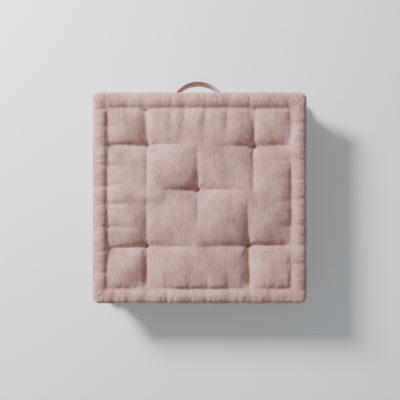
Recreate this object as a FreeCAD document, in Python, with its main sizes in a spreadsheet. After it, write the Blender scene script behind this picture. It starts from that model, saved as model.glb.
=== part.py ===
"""Square floor cushion, made like a small hand-finished mattress.

A cloth cover (top panel, bottom panel and four side strips) holds a stack of three batting layers. Its
upper and lower edges are rolled: twine sewn from the panel to the side strip closes off a firm rope of
filling all the way round. Five twine tufts tie the two panels together, and a cloth strap handle is
sewn flat on the rear side strip at both ends.

Frame: +Z up, the origin at the centre of the underside, the handle on the +Y side. Millimetres.
"""

import FreeCAD
import Part
import math
import os

import Sketcher
from FreeCAD import Placement, Rotation, Vector

doc = FreeCAD.newDocument("FloorCushion")
os.makedirs("parts", exist_ok=True)

# ---------------------------------------------------------------- driving dimensions

SIZES = {
    "width": 450.0,  # over the rolls, along X
    "depth": 444.0,  # over the rolls, along Y
    "height": 100.0,  # floor to crown
    "cloth": 1.0,  # cover cloth
    "roll_radius": 15.5,  # rolled edge, outside the cloth
    "roll_drop": 2.0,  # how far a roll lies below the crown
    "corner_radius": 18.0,  # rolled edge's corners, in plan
    "seam_lift": 10.0,  # seam of panel and side strip, from the middle of a roll
    "wall_inset": 12.0,  # side wall, in from the rolls
    "wall_corner": 12.0,
    "pillow_lap": 1.1,  # how far the panel's body laps into the roll
    "pillow_edge": 12.0,  # rounding of the panel where it dips to the roll
    "pillow_corner": 8.0,
    "tuft_depth": 26.0,
    "tuft_mouth": 34.0,  # radius of a tuft's hollow at the crown
    "tuft_floor": 5.0,  # radius of a tuft's flat bottom
    "layer_height": 34.0,  # middle batting layer, as tall as the side wall
    "twine": 1.8,
    "tuft_stitch": 6.0,  # spacing of a tuft's two strands
    "tuft_knot": 2.0,  # radius of the knot under each tuft
    "stitches": 18.0,  # stitches along each side of a roll
    "strap_width": 25.0,
    "strap_cloth": 3.0,
    "strap_x": -3.0,  # middle of the handle
    "strap_rise": 34.0,  # middle of the strap, out from where it lies flat
    "strap_crown": 60.0,  # bend radius at the middle of the strap
    "strap_foot": 25.0,  # bend radius where it leaves the wall
    "strap_angle": 40.0,  # slope of its legs, in degrees
    "strap_end": 26.0,  # length sewn flat on the wall
    "swing_radius": 15.5,  # the free strap starts this far from its swing axis
    "swing_gap": 0.3,
    "thread": 0.9,
    "seam_margin": 4.0,  # from a strap end's edges to its stitching
}

# X, Y of the five tufts. They are set by hand, a little off a true square.
TUFTS = {
    "rear_left": (-110.0, 111.0),
    "rear_right": (113.0, 108.0),
    "centre": (-4.0, 16.0),
    "front_left": (-111.0, -102.0),
    "front_right": (102.0, -100.0),
}

sheet = doc.addObject("Spreadsheet::Sheet", "Sizes")
rows = {**SIZES}
for tuft, (tuft_x, tuft_y) in TUFTS.items():
    rows[f"{tuft}_x"] = tuft_x
    rows[f"{tuft}_y"] = tuft_y
for row, (alias, number) in enumerate(rows.items(), start=1):
    sheet.set(f"A{row}", alias)
    sheet.set(f"B{row}", str(number))
    sheet.setAlias(f"B{row}", alias)
doc.recompute()


class Length:
    """A number worked out from the sheet, together with the expression that binds a feature to it."""

    def __init__(self, value, text):
        self.value = value
        self.text = text

    def _join(self, other, sign, value):
        text = other.text if isinstance(other, Length) else str(other)
        return Length(value, f"({self.text} {sign} {text})")

    def __add__(self, other):
        return self._join(other, "+", self.value + number_of(other))

    def __sub__(self, other):
        return self._join(other, "-", self.value - number_of(other))

    def __mul__(self, other):
        return self._join(other, "*", self.value * number_of(other))

    def __truediv__(self, other):
        return self._join(other, "/", self.value / number_of(other))

    def __neg__(self):
        return Length(-self.value, f"(0 - {self.text})")


def number_of(length):
    return length.value if isinstance(length, Length) else float(length)


def size(alias):
    return Length(float(sheet.get(alias)), f"Sizes.{alias}")


def sine(degrees):
    return Length(math.sin(math.radians(degrees.value)), f"sin({degrees.text} * 1deg)")


def cosine(degrees):
    return Length(math.cos(math.radians(degrees.value)), f"cos({degrees.text} * 1deg)")


def bind(feature, prop, length):
    """Ties a feature's property to the sheet."""
    feature.setExpression(prop, length.text if isinstance(length, Length) else str(length))


ZERO = Length(0.0, "0")
half_width = size("width") / 2
half_depth = size("depth") / 2
roll = size("roll_radius")
upper_roll_z = size("height") - size("roll_drop") - roll
lower_roll_z = size("roll_drop") + roll
middle_z = size("height") / 2
layer_top = middle_z + size("layer_height") / 2
layer_bottom = middle_z - size("layer_height") / 2
wall_y = half_depth - size("wall_inset")

# ---------------------------------------------------------------- bodies and sketches


def new_body(name, x=ZERO, y=ZERO, z=ZERO):
    body = doc.addObject("PartDesign::Body", name)
    body.Label = name
    for letter, length in (("x", x), ("y", y), ("z", z)):
        if length is not ZERO:
            bind(body, f"Placement.Base.{letter}", length)
    return body


def origin_plane(body, role):
    return next(o for o in body.Origin.OriginFeatures if o.Role == role)


def new_sketch(body, name, role, lift=ZERO):
    """A sketch on one of the body's own planes, lifted along that plane's normal."""
    sketch = body.newObject("Sketcher::SketchObject", name)
    sketch.AttachmentSupport = [(origin_plane(body, role), "")]
    sketch.MapMode = "FlatFace"
    if lift is not ZERO:
        sketch.AttachmentOffset = Placement(Vector(0, 0, lift.value), Rotation())
        bind(sketch, "AttachmentOffset.Base.z", lift)
    return sketch


def dimension(sketch, kind, *references, length, name):
    """A dimension of a sketch, tied to the sheet."""
    index = sketch.addConstraint(Sketcher.Constraint(kind, *references, length.value))
    sketch.renameConstraint(index, name)
    bind(sketch, f"Constraints.{name}", length)


def place_point(sketch, geometry, point, x, y, name):
    """Fixes a point's X and Y from the sketch's origin. Each dimension is kept positive."""
    for kind, along, length in (("DistanceX", "x", x), ("DistanceY", "y", y)):
        if length.value >= 0:
            ends = (-1, 1, geometry, point)
        else:
            ends, length = (geometry, point, -1, 1), -length
        dimension(sketch, kind, *ends, length=length, name=f"{name}_{along}")


def draw_rounded_rectangle(sketch, half_x, half_y, radius, name):
    """A centred rectangle with equal round corners."""
    hx, hy, r = half_x.value, half_y.value, radius.value
    sides = [
        ((-hx + r, -hy), (hx - r, -hy)),
        ((hx, -hy + r), (hx, hy - r)),
        ((hx - r, hy), (-hx + r, hy)),
        ((-hx, hy - r), (-hx, -hy + r)),
    ]
    centres = [(hx - r, -hy + r), (hx - r, hy - r), (-hx + r, hy - r), (-hx + r, -hy + r)]
    lines, arcs = [], []
    for number, (start, end) in enumerate(sides):
        lines.append(sketch.addGeometry(Part.LineSegment(Vector(*start, 0), Vector(*end, 0))))
        circle = Part.Circle(Vector(*centres[number], 0), Vector(0, 0, 1), r)
        first = math.radians(90 * (number - 1))
        arcs.append(sketch.addGeometry(Part.ArcOfCircle(circle, first, first + math.pi / 2)))
    for number in range(4):
        following = lines[(number + 1) % 4]
        sketch.addConstraint(Sketcher.Constraint("Tangent", lines[number], 2, arcs[number], 1))
        sketch.addConstraint(Sketcher.Constraint("Tangent", arcs[number], 2, following, 1))
        direction = "Horizontal" if number % 2 == 0 else "Vertical"
        sketch.addConstraint(Sketcher.Constraint(direction, lines[number]))
    for arc in arcs[1:]:
        sketch.addConstraint(Sketcher.Constraint("Equal", arcs[0], arc))
    dimension(sketch, "DistanceY", lines[0], 1, -1, 1, length=half_y, name=f"{name}_front")
    dimension(sketch, "DistanceX", -1, 1, lines[1], 1, length=half_x, name=f"{name}_right")
    dimension(sketch, "DistanceY", -1, 1, lines[2], 1, length=half_y, name=f"{name}_rear")
    dimension(sketch, "DistanceX", lines[3], 1, -1, 1, length=half_x, name=f"{name}_left")
    dimension(sketch, "Radius", arcs[0], length=radius, name=f"{name}_radius")


def draw_circle(sketch, x, y, radius, name):
    circle = Part.Circle(Vector(x.value, y.value, 0), Vector(0, 0, 1), radius.value)
    geometry = sketch.addGeometry(circle)
    place_point(sketch, geometry, 3, x, y, name)
    dimension(sketch, "Radius", geometry, length=radius, name=f"{name}_radius")


def draw_outline(sketch, points, name, closed=True):
    """Straight sides through the points, each point fixed from the origin."""
    count = len(points) if closed else len(points) - 1
    lines = []
    for number in range(count):
        ends = [points[number], points[(number + 1) % len(points)]]
        a, b = (Vector(x.value, y.value, 0) for x, y in ends)
        lines.append(sketch.addGeometry(Part.LineSegment(a, b)))
    for number in range(1, count):
        sketch.addConstraint(
            Sketcher.Constraint("Coincident", lines[number - 1], 2, lines[number], 1)
        )
    if closed:
        sketch.addConstraint(Sketcher.Constraint("Coincident", lines[-1], 2, lines[0], 1))
    for number in range(count):
        place_point(sketch, lines[number], 1, *points[number], f"{name}{number}")
    if not closed:
        place_point(sketch, lines[-1], 2, *points[-1], f"{name}{count}")


def pad(body, sketch, length, midplane=False):
    feature = body.newObject("PartDesign::Pad", f"{sketch.Name}Pad")
    feature.Profile = sketch
    feature.Midplane = midplane
    bind(feature, "Length", length)
    sketch.Visibility = False
    return feature


# ---------------------------------------------------------------- the cushion's outer shape


def roll_ring(body, name, z, inset):
    """A round rope with mitred corners, along all four sides at one height."""
    along_x = half_width - roll
    along_y = half_depth - roll
    path = new_sketch(body, f"{name}Path", "XY_Plane", z)
    corners = [(-along_x, -along_y), (along_x, -along_y), (along_x, along_y), (-along_x, along_y)]
    draw_outline(path, corners, "corner")
    section = new_sketch(body, f"{name}Section", "YZ_Plane", ZERO)
    draw_circle(section, -along_y, z, roll - inset, "rope")
    doc.recompute()
    pipe = body.newObject("PartDesign::AdditivePipe", f"{name}Pipe")
    pipe.Profile = section
    pipe.Spine = path
    pipe.Transition = "Right corner"
    doc.recompute()


def envelope(name, inset):
    """The cushion's whole shape without its tufts, inset evenly: the outside or inside of the cover."""
    body = new_body(name)
    wall = new_sketch(body, f"{name}Wall", "XY_Plane", lower_roll_z)
    across = half_width - size("wall_inset") - inset
    along = wall_y - inset
    draw_rounded_rectangle(wall, across, along, size("wall_corner") - inset, "wall")
    pad(body, wall, upper_roll_z - lower_roll_z)
    panel = new_sketch(body, f"{name}Panel", "XY_Plane", inset if inset is not ZERO else ZERO)
    edge = roll * 2 - size("pillow_lap") + inset
    draw_rounded_rectangle(
        panel, half_width - edge, half_depth - edge, size("pillow_corner") - inset, "panel"
    )
    crown = pad(body, panel, size("height") - inset * 2)
    doc.recompute()
    rim = [
        f"Edge{number}"
        for number, side in enumerate(crown.Shape.Edges, start=1)
        if abs(side.BoundBox.ZLength) < 1e-6
        and min(
            abs(side.BoundBox.ZMin - inset.value),
            abs(side.BoundBox.ZMin - size("height").value + inset.value),
        )
        < 1e-6
    ]
    rounding = body.newObject("PartDesign::Fillet", f"{name}PanelEdge")
    rounding.Base = (crown, rim)
    bind(rounding, "Radius", size("pillow_edge") - inset)
    doc.recompute()
    roll_ring(body, f"{name}UpperRoll", upper_roll_z, inset)
    roll_ring(body, f"{name}LowerRoll", lower_roll_z, inset)
    outline = new_sketch(body, f"{name}Corners", "XY_Plane")
    beyond = roll * 2
    draw_rounded_rectangle(outline, half_width + beyond, half_depth + beyond, roll, "beyond")
    draw_rounded_rectangle(
        outline, half_width - inset, half_depth - inset, size("corner_radius") - inset, "plan"
    )
    trim = body.newObject("PartDesign::Pocket", f"{name}CornerTrim")
    trim.Profile = outline
    trim.Type = "ThroughAll"
    trim.Reversed = True
    doc.recompute()
    return body


def box(name, half_x, half_y, low, high):
    """A centred block between two heights."""
    block = doc.addObject("Part::Box", name)
    bind(block, "Length", half_x * 2)
    bind(block, "Width", half_y * 2)
    bind(block, "Height", high - low)
    bind(block, "Placement.Base.x", -half_x)
    bind(block, "Placement.Base.y", -half_y)
    bind(block, "Placement.Base.z", low)
    return block


def cut(name, base, tool):
    result = doc.addObject("Part::Cut", name)
    result.Base = base
    result.Tool = tool
    result.Label = name
    return result


def common(name, base, tool):
    result = doc.addObject("Part::Common", name)
    result.Base = base
    result.Tool = tool
    result.Label = name
    return result


def fuse(name, members):
    result = doc.addObject("Part::MultiFuse", name)
    result.Shapes = members
    result.Label = name
    return result


def tuft_hollows(name, inset):
    """Ten cones, one from each face at each tuft, that press the cloth down towards the middle."""
    cones = []
    beyond = 1.0
    depth = size("tuft_depth") + inset
    steepness = (size("tuft_mouth") - size("tuft_floor")) / size("tuft_depth")
    for tuft in TUFTS:
        for face in ("Top", "Bottom"):
            cone = doc.addObject("Part::Cone", f"{name}_{tuft}_{face}")
            narrow = size("tuft_floor") + inset / 2
            wide = narrow + steepness * (depth + beyond - inset)
            bind(cone, "Radius1", narrow if face == "Top" else wide)
            bind(cone, "Radius2", wide if face == "Top" else narrow)
            bind(cone, "Height", depth + beyond - inset)
            low = size("height") - depth if face == "Top" else inset - beyond
            bind(cone, "Placement.Base.x", size(f"{tuft}_x"))
            bind(cone, "Placement.Base.y", size(f"{tuft}_y"))
            bind(cone, "Placement.Base.z", low)
            cones.append(cone)
    return fuse(name, cones)


def corner_wedge(name, side):
    """A prism over one quarter of the plan, bounded by the two diagonals that meet at the corners."""
    body = new_body(name)
    sketch = new_sketch(body, f"{name}Plan", "XY_Plane")
    reach = size("depth") * 0.75
    middle = half_width - half_depth
    left, right = (-middle, ZERO), (middle, ZERO)
    outer_x = reach + middle
    corners = {
        "front": [left, (-outer_x, -reach), (outer_x, -reach), right],
        "rear": [right, (outer_x, reach), (-outer_x, reach), left],
        "right": [right, (outer_x, -reach), (outer_x, reach)],
        "left": [left, (-outer_x, reach), (-outer_x, -reach)],
    }[side]
    draw_outline(sketch, corners, "point")
    pad(body, sketch, size("height"))
    doc.recompute()
    return body


outside = cut("OutsideShape", envelope("Outside", ZERO), tuft_hollows("OuterHollows", ZERO))
inside = cut(
    "InsideShape", envelope("Inside", size("cloth")), tuft_hollows("InnerHollows", size("cloth"))
)
cover = cut("Cover", outside, inside)
doc.recompute()

# ---------------------------------------------------------------- cover cloth

beyond_sides = roll * 2
over_x = half_width + beyond_sides
over_y = half_depth + beyond_sides
groove_x = half_width - roll * 1.5
groove_y = half_depth - roll * 1.5
above = size("height") + beyond_sides


def panel_region(name, seam_z, far_z):
    """Everything that belongs to one panel: beyond its seam, and between the rolls down to the tufts."""
    low, high = (seam_z, far_z) if far_z.value > seam_z.value else (far_z, seam_z)
    beyond_seam = box(f"{name}BeyondSeam", over_x, over_y, low, high)
    low, high = (middle_z, far_z) if far_z.value > seam_z.value else (far_z, middle_z)
    between_rolls = box(f"{name}BetweenRolls", groove_x, groove_y, low, high)
    return fuse(name, [beyond_seam, between_rolls])


top_region = panel_region("TopRegion", upper_roll_z + size("seam_lift"), above)
bottom_region = panel_region("BottomRegion", lower_roll_z - size("seam_lift"), -beyond_sides)
top_panel = common("top_panel", cover, top_region)
bottom_panel = common("bottom_panel", cover, bottom_region)
side_band = cut("SideBand", cover, fuse("BothPanels", [top_region, bottom_region]))
quarters = {side: corner_wedge(f"Quarter_{side}", side) for side in ("front", "rear", "left", "right")}
side_strips = [
    common(f"side_strip_{side}", side_band, quarter) for side, quarter in quarters.items()
]

# ---------------------------------------------------------------- filling


def stitched_core():
    """What the roll stitching leaves in the middle: a block whose edges slope from panel to wall."""
    body = new_body("StitchedCore")
    lap = roll * 2 - size("pillow_lap")
    slope = lap - size("wall_inset")
    x, y = half_width - size("wall_inset"), wall_y
    block = new_sketch(body, "CoreBlock", "XY_Plane", layer_bottom - slope)
    draw_outline(block, [(-x, -y), (x, -y), (x, y), (-x, y)], "corner")
    raised = pad(body, block, size("layer_height") + slope * 2)
    doc.recompute()
    rim = [
        f"Edge{number}"
        for number, side in enumerate(raised.Shape.Edges, start=1)
        if abs(side.BoundBox.ZLength) < 1e-6
    ]
    chamfer = body.newObject("PartDesign::Chamfer", "StitchSlope")
    chamfer.Base = (raised, rim)
    bind(chamfer, "Size", slope)
    doc.recompute()
    return body


core_limits = stitched_core()
panel_reach = roll * 2 - size("pillow_lap") + size("cloth")
panel_column = box(
    "PanelColumn", half_width - panel_reach, half_depth - panel_reach, -beyond_sides, above
)
core_region = fuse("CoreRegion", [core_limits, panel_column])
core = common("Core", inside, core_region)
edge_ropes = cut("EdgeRopes", inside, core_region)
fillings = [
    common("upper_batting", core, box("UpperLayer", over_x, over_y, layer_top, size("height"))),
    common("middle_batting", core, box("MiddleLayer", over_x, over_y, layer_bottom, layer_top)),
    common("lower_batting", core, box("LowerLayer", over_x, over_y, ZERO, layer_bottom)),
]
halves = {
    "upper": box("UpperHalf", over_x, over_y, middle_z, size("height")),
    "lower": box("LowerHalf", over_x, over_y, ZERO, middle_z),
}
for level, half in halves.items():
    ring = common(f"{level}_rope", edge_ropes, half)
    fillings += [
        common(f"{level}_roll_filling_{side}", ring, quarter) for side, quarter in quarters.items()
    ]

# ---------------------------------------------------------------- twine


def tuft_tie(tuft):
    """A loop of twine through the cushion, pulled tight over both cloths and knotted underneath."""
    body = new_body(f"tuft_tie_{tuft}", size(f"{tuft}_x"), size(f"{tuft}_y"))
    half_stitch = size("tuft_stitch") / 2
    lift = size("twine") / 2
    low = size("tuft_depth") - lift
    high = size("height") - size("tuft_depth") + lift
    strands = new_sketch(body, f"{tuft}Strands", "XY_Plane", low)
    draw_circle(strands, half_stitch, ZERO, lift, "right")
    draw_circle(strands, -half_stitch, ZERO, lift, "left")
    pad(body, strands, high - low)
    bars = new_sketch(body, f"{tuft}Bars", "YZ_Plane")
    draw_circle(bars, ZERO, low, lift, "under")
    draw_circle(bars, ZERO, high, lift, "over")
    pad(body, bars, size("tuft_stitch") + size("twine"), midplane=True)
    doc.recompute()
    knot_plan = new_sketch(body, f"{tuft}KnotSection", "YZ_Plane")
    knot = size("tuft_knot")
    circle = Part.Circle(Vector(0, low.value, 0), Vector(0, 0, 1), knot.value)
    half_turn = math.pi / 2
    arc = knot_plan.addGeometry(Part.ArcOfCircle(circle, -half_turn, half_turn))
    chord = knot_plan.addGeometry(
        Part.LineSegment(
            Vector(0, low.value + knot.value, 0), Vector(0, low.value - knot.value, 0)
        )
    )
    knot_plan.addConstraint(Sketcher.Constraint("Coincident", arc, 2, chord, 1))
    knot_plan.addConstraint(Sketcher.Constraint("Coincident", chord, 2, arc, 1))
    knot_plan.addConstraint(Sketcher.Constraint("PointOnObject", arc, 3, -2))
    knot_plan.addConstraint(Sketcher.Constraint("PointOnObject", arc, 1, -2))
    knot_plan.addConstraint(Sketcher.Constraint("PointOnObject", arc, 2, -2))
    dimension(knot_plan, "DistanceY", -1, 1, arc, 3, length=low, name="height")
    dimension(knot_plan, "Radius", arc, length=knot, name="radius")
    ball = body.newObject("PartDesign::Revolution", f"{tuft}Knot")
    ball.Profile = knot_plan
    ball.ReferenceAxis = (knot_plan, ["V_Axis"])
    ball.Angle = 360
    doc.recompute()
    return body


def roll_twine(name, groove_z, seam_z):
    """One running stitch round the cushion: along the panel's groove, through the filling, along the
    side wall, and back through the filling."""
    count = round(size("stitches").value)
    on_panel = (roll * 2 - size("twine")).value
    on_wall = (size("wall_inset") - size("twine") / 2).value
    side_ends = [
        Vector(half_width.value, half_depth.value, 0),
        Vector(-half_width.value, half_depth.value, 0),
        Vector(-half_width.value, -half_depth.value, 0),
        Vector(half_width.value, -half_depth.value, 0),
    ]
    points = []
    for number, start in enumerate(side_ends):
        end = side_ends[(number + 1) % 4]
        forward = (end - start).normalize()
        inward = Vector(-forward.y, forward.x, 0)
        first = start + forward * (on_panel + size("corner_radius").value)
        span = (end - start).Length - 2 * (on_panel + size("corner_radius").value)
        for hole in range(2 * count):
            place = first + forward * (span * hole / (2 * count - 1))
            panel_hole = place + inward * on_panel + Vector(0, 0, groove_z)
            wall_hole = place + inward * on_wall + Vector(0, 0, seam_z)
            points += [panel_hole, wall_hole] if hole % 2 else [wall_hole, panel_hole]
    points.append(points[0])
    spine = Part.makePolygon(points)
    direction = points[1] - points[0]
    section = Part.Wire(Part.makeCircle(size("twine").value / 2, points[0], direction))
    feature = doc.addObject("Part::Feature", name)
    feature.Label = name
    right_corner = 1
    feature.Shape = spine.makePipeShell([section], True, False, right_corner)
    return feature


twines = [tuft_tie(tuft) for tuft in TUFTS]

# ---------------------------------------------------------------- handle

strap_offset = wall_y + size("strap_cloth") / 2  # middle of the strap where it lies on the wall
slope = size("strap_angle")
crown_drop = size("strap_crown") * (-cosine(slope) + 1)
foot_drop = size("strap_foot") * (-cosine(slope) + 1)
crown_half = size("strap_crown") * sine(slope)
foot_length = size("strap_foot") * sine(slope)
leg_drop = size("strap_rise") - crown_drop - foot_drop
leg_reach = leg_drop * cosine(slope) / sine(slope)
arch_half = crown_half + leg_reach + foot_length


def draw_strap(sketch):
    """The strap's edge, seen from above: flat end, foot bend, leg, crown, and the same back."""
    half = size("strap_cloth") / 2
    crown_centre = strap_offset + size("strap_rise") - size("strap_crown")
    foot_centre = strap_offset + size("strap_foot")
    end_x = arch_half + size("strap_end")

    def edge(side):
        """Points along one face of the strap, from the right end to the left, side -1 or 1."""
        lift = half * side
        crown_radius = size("strap_crown") + lift
        foot_radius = size("strap_foot") - lift
        foot_x = arch_half - foot_radius * sine(slope)
        foot_y = foot_centre - foot_radius * cosine(slope)
        crown_x = crown_radius * sine(slope)
        crown_y = crown_centre + crown_radius * cosine(slope)
        flat_y = strap_offset + lift
        right = [(end_x, flat_y), (arch_half, flat_y), (foot_x, foot_y), (crown_x, crown_y)]
        left = [(-x, y) for x, y in reversed(right)]
        radii = [None, foot_radius, None, crown_radius, None, foot_radius, None]
        centres = [
            None,
            (arch_half, foot_centre),
            None,
            (ZERO, crown_centre),
            None,
            (-arch_half, foot_centre),
            None,
        ]
        return right + left, radii, centres

    outer, radii, centres = edge(1)
    inner, inner_radii, inner_centres = edge(-1)
    points = outer + inner[::-1]
    radii = radii + [None] + inner_radii[::-1] + [None]
    centres = centres + [None] + inner_centres[::-1] + [None]
    made = []
    for number, (x, y) in enumerate(points):
        next_x, next_y = points[(number + 1) % len(points)]
        a = Vector(x.value, y.value, 0)
        b = Vector(next_x.value, next_y.value, 0)
        if radii[number] is None:
            made.append((sketch.addGeometry(Part.LineSegment(a, b)), 1, 2))
            continue
        centre = Vector(centres[number][0].value, centres[number][1].value, 0)
        circle = Part.Circle(centre, Vector(0, 0, 1), radii[number].value)
        turns_left = ((a - centre).cross(b - centre)).z > 0
        first, last = (a, b) if turns_left else (b, a)
        arc = Part.ArcOfCircle(circle, circle.parameter(first), circle.parameter(last))
        made.append((sketch.addGeometry(arc), 1 if turns_left else 2, 2 if turns_left else 1))
    for number, (geometry, start, end) in enumerate(made):
        following = made[(number + 1) % len(made)]
        sketch.addConstraint(
            Sketcher.Constraint("Coincident", geometry, end, following[0], following[1])
        )
        place_point(sketch, geometry, start, *points[number], f"point{number}")
        if radii[number] is not None:
            dimension(
                sketch, "Radius", geometry, length=radii[number], name=f"bend{number}"
            )


def strap_body(name):
    """The whole strap, before it is divided into its sewn ends and its free middle."""
    body = new_body(name, size("strap_x"))
    sketch = new_sketch(body, f"{name}Edge", "XY_Plane", middle_z)
    draw_strap(sketch)
    pad(body, sketch, size("strap_width"), midplane=True)
    doc.recompute()
    return body


def swing_cylinder(name, radius):
    """A bar round the strap's swing axis, which runs along X on the face of the side wall."""
    bar = doc.addObject("Part::Cylinder", name)
    length = arch_half * 2 + size("strap_end") * 4
    bind(bar, "Radius", radius)
    bind(bar, "Height", length)
    bar.Placement = Placement(Vector(), Rotation(Vector(0, 1, 0), 90))
    bind(bar, "Placement.Base.x", size("strap_x") - length / 2)
    bind(bar, "Placement.Base.y", wall_y)
    bind(bar, "Placement.Base.z", middle_z)
    return bar


def end_side(name, side):
    """A block over everything on one side of the cushion's middle, side -1 for left or 1 for right."""
    block = doc.addObject("Part::Box", name)
    reach = arch_half * 2
    bind(block, "Length", reach)
    bind(block, "Width", size("depth"))
    bind(block, "Height", size("height"))
    bind(block, "Placement.Base.x", size("strap_x") if side > 0 else size("strap_x") - reach)
    bind(block, "Placement.Base.y", ZERO)
    bind(block, "Placement.Base.z", ZERO)
    return block


def end_stitching(name, side):
    """A box of machine stitching with a cross in it, lying on a strap end's outer face."""
    half_x = size("strap_end").value / 2 - size("seam_margin").value
    half_z = size("strap_width").value / 2 - size("seam_margin").value
    radius = size("thread").value / 2
    centre = Vector(
        size("strap_x").value + side * (arch_half + size("strap_end") / 2).value,
        (wall_y + size("strap_cloth")).value + radius,
        middle_z.value,
    )
    corners = [
        centre + Vector(x * half_x, 0, z * half_z) for x, z in ((-1, -1), (1, -1), (1, 1), (-1, 1))
    ]
    runs = [(corners[i], corners[(i + 1) % 4]) for i in range(4)]
    runs += [(corners[0], corners[2]), (corners[1], corners[3])]
    threads = [Part.makeCylinder(radius, (b - a).Length, a, b - a) for a, b in runs]
    threads += [Part.makeSphere(radius, corner) for corner in corners]
    feature = doc.addObject("Part::Feature", name)
    feature.Label = name
    feature.Shape = threads[0].multiFuse(threads[1:]).removeSplitter()
    return feature


whole_strap = strap_body("WholeStrap")
free_strap = cut(
    "handle_strap", whole_strap, swing_cylinder("FreeLimit", size("swing_radius"))
)
fixed_reach = swing_cylinder("FixedLimit", size("swing_radius") - size("swing_gap"))
sewn_half = common("SewnParts", whole_strap, fixed_reach)
handle = [
    free_strap,
    common("handle_end_left", sewn_half, end_side("LeftSide", -1)),
    common("handle_end_right", sewn_half, end_side("RightSide", 1)),
    end_stitching("handle_stitching_left", -1),
    end_stitching("handle_stitching_right", 1),
]
doc.recompute()

twines.append(
    roll_twine(
        "upper_roll_twine",
        (upper_roll_z + size("twine") * 3).value,
        (layer_top - size("twine")).value,
    )
)
twines.append(
    roll_twine(
        "lower_roll_twine",
        (lower_roll_z - size("twine") * 3).value,
        (layer_bottom + size("twine")).value,
    )
)

# ---------------------------------------------------------------- check and write

doc.recompute()
subparts = [top_panel, bottom_panel, *side_strips, *fillings, *twines, *handle]
broken = [o.Name for o in doc.Objects if {"Invalid", "Error"} & set(o.State)]
if broken:
    raise RuntimeError(f"these objects failed to build: {broken}")
for subpart in subparts:
    shape = subpart.Shape
    if shape.isNull() or not shape.isValid() or not shape.Solids:
        raise RuntimeError(f"{subpart.Label} has no valid solid")
    shape.exportStep(f"parts/{subpart.Label}.step")
    bounds = shape.BoundBox
    print(
        f"{subpart.Label}: {len(shape.Solids)} solid(s), {shape.Volume / 1000:.1f} cm3, "
        f"{bounds.XLength:.1f} x {bounds.YLength:.1f} x {bounds.ZLength:.1f} mm"
    )
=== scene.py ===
"""Looks of the square floor cushion: cover, filling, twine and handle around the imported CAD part.

Sizes are in millimetres in the part's frame, and become metres when a mesh is made.
"""

import math

import bpy
import numpy as np
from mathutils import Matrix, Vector


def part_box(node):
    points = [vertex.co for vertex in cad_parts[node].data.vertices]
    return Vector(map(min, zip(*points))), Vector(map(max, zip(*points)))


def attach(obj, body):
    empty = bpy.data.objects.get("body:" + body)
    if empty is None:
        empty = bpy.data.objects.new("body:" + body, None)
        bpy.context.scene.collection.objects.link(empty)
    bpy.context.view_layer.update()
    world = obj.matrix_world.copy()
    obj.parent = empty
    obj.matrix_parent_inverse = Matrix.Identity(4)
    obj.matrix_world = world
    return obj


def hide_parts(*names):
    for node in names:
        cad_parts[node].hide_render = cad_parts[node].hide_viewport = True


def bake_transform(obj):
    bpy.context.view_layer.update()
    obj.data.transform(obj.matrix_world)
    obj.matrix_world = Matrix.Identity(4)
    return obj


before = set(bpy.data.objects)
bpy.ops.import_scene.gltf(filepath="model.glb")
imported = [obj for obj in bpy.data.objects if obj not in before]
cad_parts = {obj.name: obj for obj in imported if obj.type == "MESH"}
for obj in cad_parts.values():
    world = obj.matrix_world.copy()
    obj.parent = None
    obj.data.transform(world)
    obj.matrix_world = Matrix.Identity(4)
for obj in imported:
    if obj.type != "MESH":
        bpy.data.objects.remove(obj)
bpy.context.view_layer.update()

MM = 0.001
X, Y, Z = 0, 1, 2

# ---------------------------------------------------------------- places of the CAD nodes


def node_low(node, axis):
    """Where a CAD node starts along an axis, in millimetres to a tenth."""
    return round(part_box(node)[0][axis] / MM, 1)


def node_high(node, axis):
    """Where a CAD node ends along an axis."""
    return round(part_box(node)[1][axis] / MM, 1)


def node_middle(node, axis):
    """The middle of a CAD node along an axis."""
    return round(sum(corner[axis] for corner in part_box(node)) / 2 / MM, 1)


# ---------------------------------------------------------------- sizes

SIDES = ("front", "right", "rear", "left")
HALF_X = node_high("side_strip_right", X)
HALF_Y = -node_low("side_strip_front", Y)
HEIGHT = node_high("top_panel", Z)
CLOTH = 0.8
CORNER_RADIUS, CORNER_TIGHTENS, CORNER_LEAST = 14.5, 0.5, 3.0

# The rolled edge, from the groove that its stitches pull in, over the roll, to the wall below it.
# A roll's radius is that of its rope of filling and the cloth round it.
ROLL_Z = node_middle("upper_roll_filling_right", Z)
ROPE_TOP = node_high("upper_roll_filling_right", Z)
ROPE_SIDE = node_high("upper_roll_filling_right", X)
ROLL = ROPE_TOP - ROLL_Z + HALF_X - ROPE_SIDE
ROLL_SQUARE = 0.75
GROOVE_DROP, GROOVE_PLUNGE = 5.5, 3.0
GROOVE_SHIFT = (0.5, 2.2, 4.5, 1.2)
WALL_INSET = HALF_Y - node_low("handle_end_left", Y)
WALL_BULGE = 2.0
# A turn is the share of this arc, in degrees, that has passed from the groove over the roll to the wall.
ROLL_ARC = 255
SEAM_TURN, OUTERMOST_TURN = 0.53, 0.7

# The cover's mesh before it is split finer: cells along a side, over a roll and down the wall.
SIDE_CELLS = 88
SIDE_CELL = round(2 * (HALF_X - 2 * ROLL) / SIDE_CELLS, 1)
CREST_CELLS, ROLL_CELLS, WALL_CELLS = 5, 16, 8
LAST_RING = 2 * ROLL_CELLS + WALL_CELLS
# Panel and side strip meet at this ring, and at its mirror below.
SEAM_RING = 8
ZONES = ("top_panel", "bottom_panel") + tuple(f"side_strip_{side}" for side in SIDES)

# How the panel rises from the groove, in SIDES order: the rise's length, and the steep share of it.
CROWN = 4.0
EDGE_RISE = (18.0, 22.0, 10.0, 17.0)
EDGE_STEP = (0.4, 0.3, 0.3, 0.1)
STEEP_RISE = 3.0

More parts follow.
